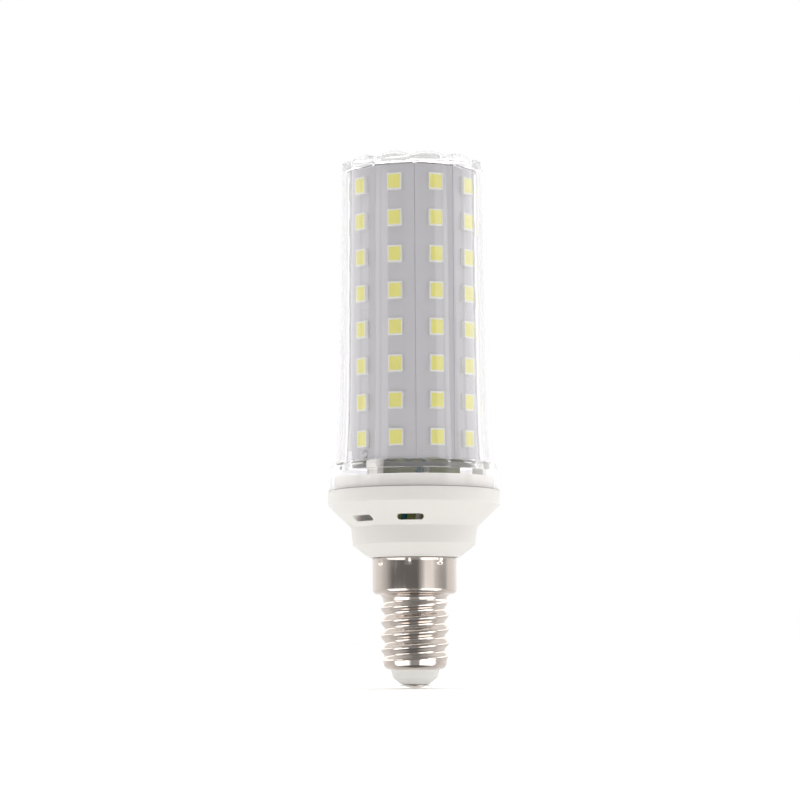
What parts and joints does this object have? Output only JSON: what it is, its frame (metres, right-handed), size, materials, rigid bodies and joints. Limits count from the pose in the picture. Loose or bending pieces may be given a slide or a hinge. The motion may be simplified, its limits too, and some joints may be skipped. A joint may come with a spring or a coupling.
{
  "type": "corn led bulb",
  "caption": "LED corn lamp: a clear fluted cover over a ring of LED strips, a white vented plastic housing and a small metal screw cap.",
  "frame": {"origin": "tip of the end contact, on the lamp's axis", "axes": "+Z along the lamp's axis, from the end contact to the top of the cover; -Y is the front, towards the vents and the picture's camera"},
  "size_m": [0.0352, 0.0352, 0.1083],
  "materials": {
    "cover_clear": "clear and smooth",
    "housing_white": "satin moulding",
    "cap_nickel": "nickel plate, rolled",
    "insulator_white": "satin moulding",
    "contact_metal": "nickel plate",
    "strip_white": "white solder mask on aluminium",
    "led_body": "white package moulding",
    "led_phosphor": "yellow phosphor in clear silicone",
    "board_olive": "olive circuit board",
    "capacitor_sleeve": "dark shrink sleeve",
    "film_red": "boxed film capacitor",
    "sleeve_black": "black shrink sleeve",
    "chip_black": "moulded package",
    "fuse_body": "lacquered resistor body",
    "lead_white": "white insulation",
    "lead_teal": "teal insulation",
    "solder": "bright solder"
  },
  "bodies": {
    "root": {"clear_cover": "cover_clear", "housing": "housing_white", "screw_shell": "cap_nickel", "cap_insulator": "insulator_white", "contact_rivet": "contact_metal", "led_strip_01": "strip_white", "led_packages_01": "led_body", "led_phosphor_01": "led_phosphor", "led_strip_02": "strip_white", "led_packages_02": "led_body", "led_phosphor_02": "led_phosphor", "led_strip_03": "strip_white", "led_packages_03": "led_body", "led_phosphor_03": "led_phosphor", "led_strip_04": "strip_white", "led_packages_04": "led_body", "led_phosphor_04": "led_phosphor", "led_strip_05": "strip_white", "led_packages_05": "led_body", "led_phosphor_05": "led_phosphor", "led_strip_06": "strip_white", "led_packages_06": "led_body", "led_phosphor_06": "led_phosphor", "led_strip_07": "strip_white", "led_packages_07": "led_body", "led_phosphor_07": "led_phosphor", "led_strip_08": "strip_white", "led_packages_08": "led_body", "led_phosphor_08": "led_phosphor", "led_strip_09": "strip_white", "led_packages_09": "led_body", "led_phosphor_09": "led_phosphor", "led_strip_10": "strip_white", "led_packages_10": "led_body", "led_phosphor_10": "led_phosphor", "top_board": "strip_white", "top_led_packages": "led_body", "top_led_phosphor": "led_phosphor", "base_board": "strip_white", "driver_board": "board_olive", "electrolytic_capacitor": "capacitor_sleeve", "film_capacitor": "film_red", "inductor": "sleeve_black", "bridge_rectifier": "chip_black", "driver_chip": "chip_black", "fuse_resistor": "fuse_body", "live_lead": "lead_white", "neutral_lead": "lead_white", "led_plus_lead": "lead_teal", "led_minus_lead": "lead_white", "solder_joints": "solder"}
  },
  "joints": []
}
